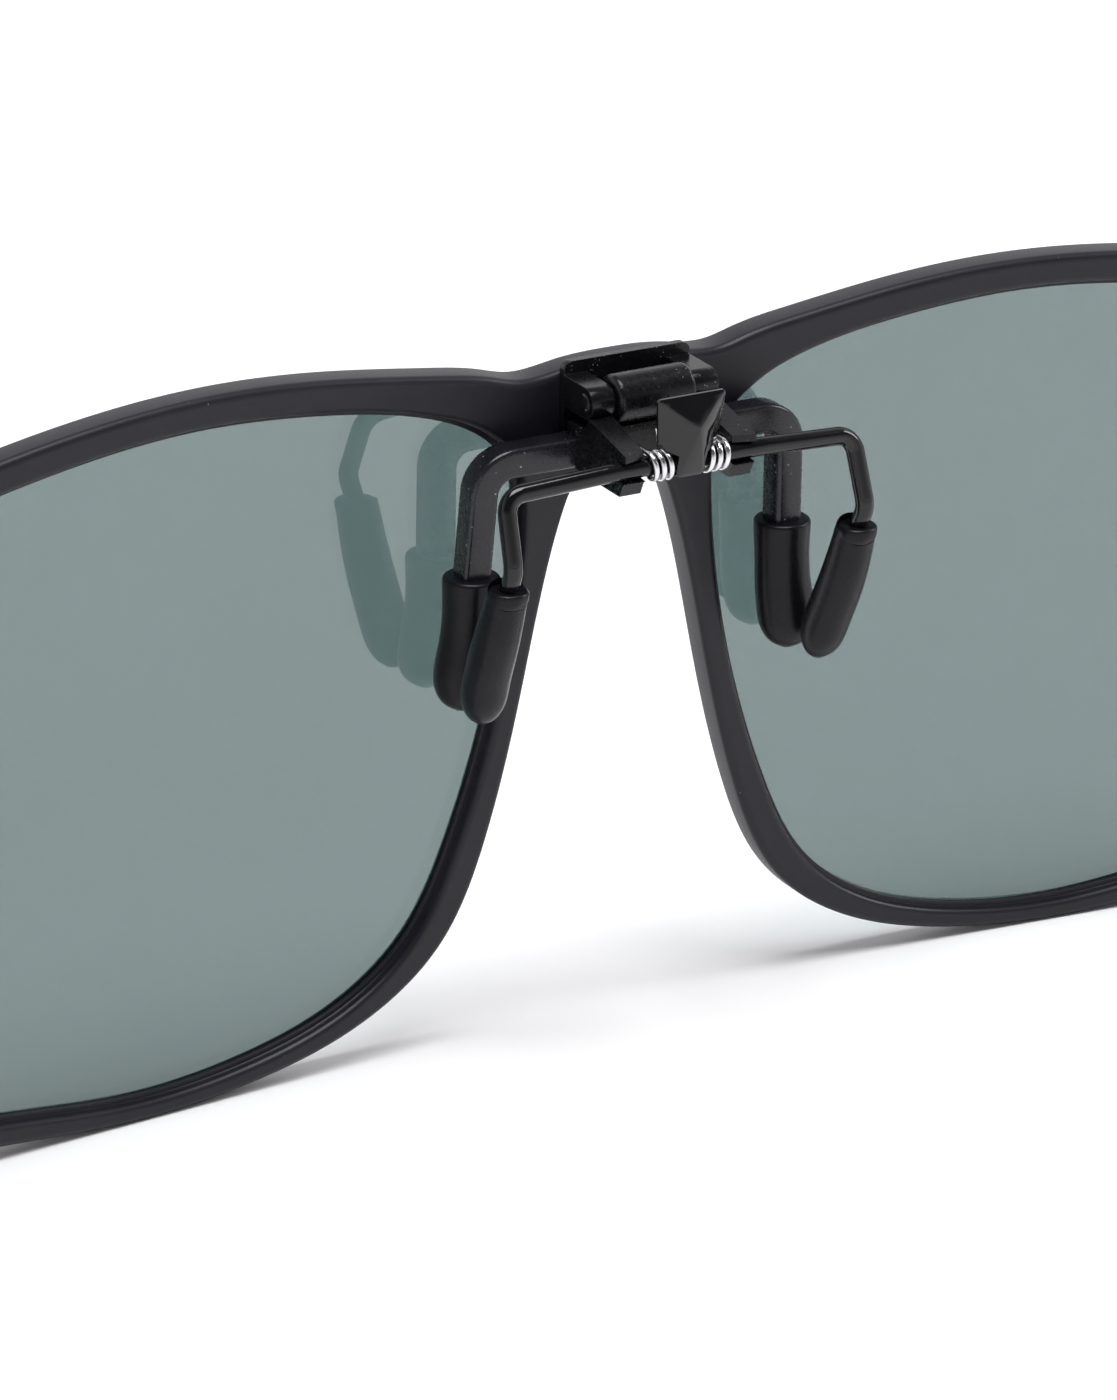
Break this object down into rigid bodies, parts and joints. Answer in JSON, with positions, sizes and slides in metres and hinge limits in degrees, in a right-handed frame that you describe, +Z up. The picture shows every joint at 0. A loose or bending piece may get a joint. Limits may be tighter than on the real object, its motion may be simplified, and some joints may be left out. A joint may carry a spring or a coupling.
{
  "type": "clip-on sunglasses",
  "caption": "Flip-up clip-on sunglasses: curved front with two tinted lenses, hinge, and a sprung clip with rubber-sleeved arms opened by a thumb lever.",
  "frame": {"origin": "middle of the footprint, on the surface that the lower rims stand on", "axes": "+X along the width of the front, +Y towards the wearer, +Z up"},
  "size_m": [0.1414, 0.0117, 0.0451],
  "materials": {
    "frame": "fine matte moulded charcoal",
    "lens": "glossy green-grey tinted polarised sheet",
    "black_metal": "glossy black enamel",
    "spring_steel": "bright drawn steel",
    "clip_plastic": "glossy black",
    "arm": "satin black",
    "sleeve": "matte soft sleeve",
    "wire": "glossy black coated wire",
    "lever": "glossy faceted black"
  },
  "bodies": {
    "front": {"front_frame": "frame", "lens_left": "lens", "lens_right": "lens", "hinge_plate": "black_metal", "plate_rivet_left": "black_metal", "plate_rivet_right": "black_metal", "hinge_pin": "black_metal", "detent_leaf": "spring_steel"},
    "clip": {"clip_body": "clip_plastic", "fixed_arm_left": "arm", "fixed_arm_right": "arm", "fixed_sleeve_left": "sleeve", "fixed_sleeve_right": "sleeve", "torsion_spring_left": "spring_steel", "torsion_spring_right": "spring_steel"},
    "jaw": {"jaw_wire": "wire", "wire_sleeve_left": "sleeve", "wire_sleeve_right": "sleeve", "thumb_lever": "lever"}
  },
  "joints": [
    {"name": "flip_hinge", "type": "hinge", "parent": "front", "child": "clip", "pos_m": [0, -0.0004, 0.0416], "axis": [1, 0, 0], "range_deg": [0, 90]},
    {"name": "jaw_hinge", "type": "hinge", "parent": "clip", "child": "jaw", "pos_m": [0, 0.00415, 0.0388], "axis": [1, 0, 0], "range_deg": [0, 35], "stiffness_Nm_per_rad": 0.03, "springref_deg": -28.65, "deforming": ["torsion_spring_left", "torsion_spring_right"]}
  ]
}
